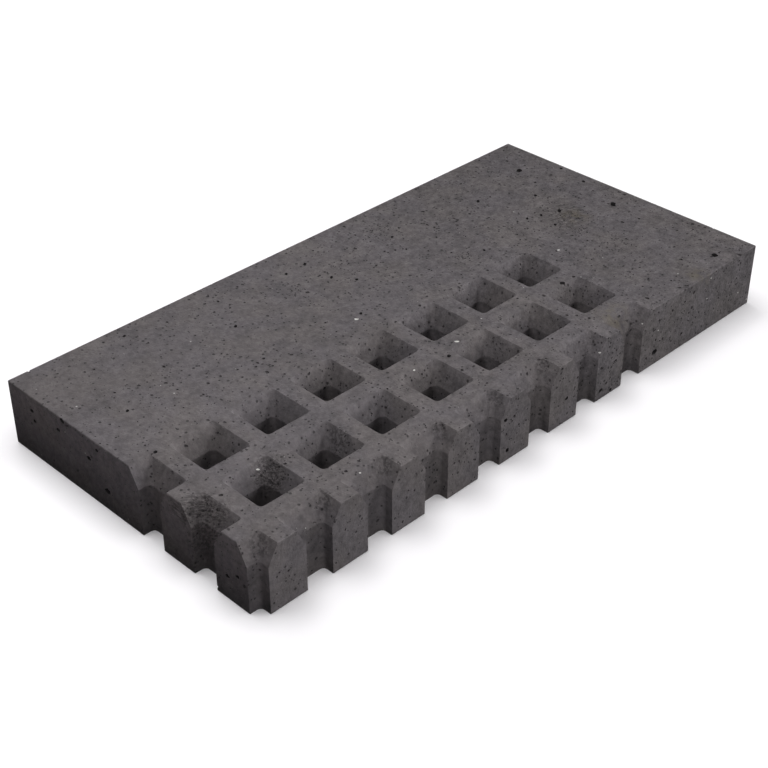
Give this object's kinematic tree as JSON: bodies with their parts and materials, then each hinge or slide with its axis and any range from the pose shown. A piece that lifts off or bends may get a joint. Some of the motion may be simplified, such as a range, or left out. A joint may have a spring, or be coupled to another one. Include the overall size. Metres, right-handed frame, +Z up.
{
  "type": "corner border block",
  "caption": "Flat cast concrete paving block with a solid border along the back and one end, and a grid of funnel-mouthed square drainage holes open at the other edges.",
  "frame": {"origin": "middle of the underside", "axes": "+X along the length towards the bordered end, +Y towards the bordered long side, +Z up to the holes' mouths"},
  "size_m": [0.595, 0.295, 0.06],
  "materials": {
    "concrete": "matte anthracite concrete, fine sandy skin with open pores"
  },
  "bodies": {
    "root": {"corner_border_block": "concrete"}
  },
  "joints": []
}
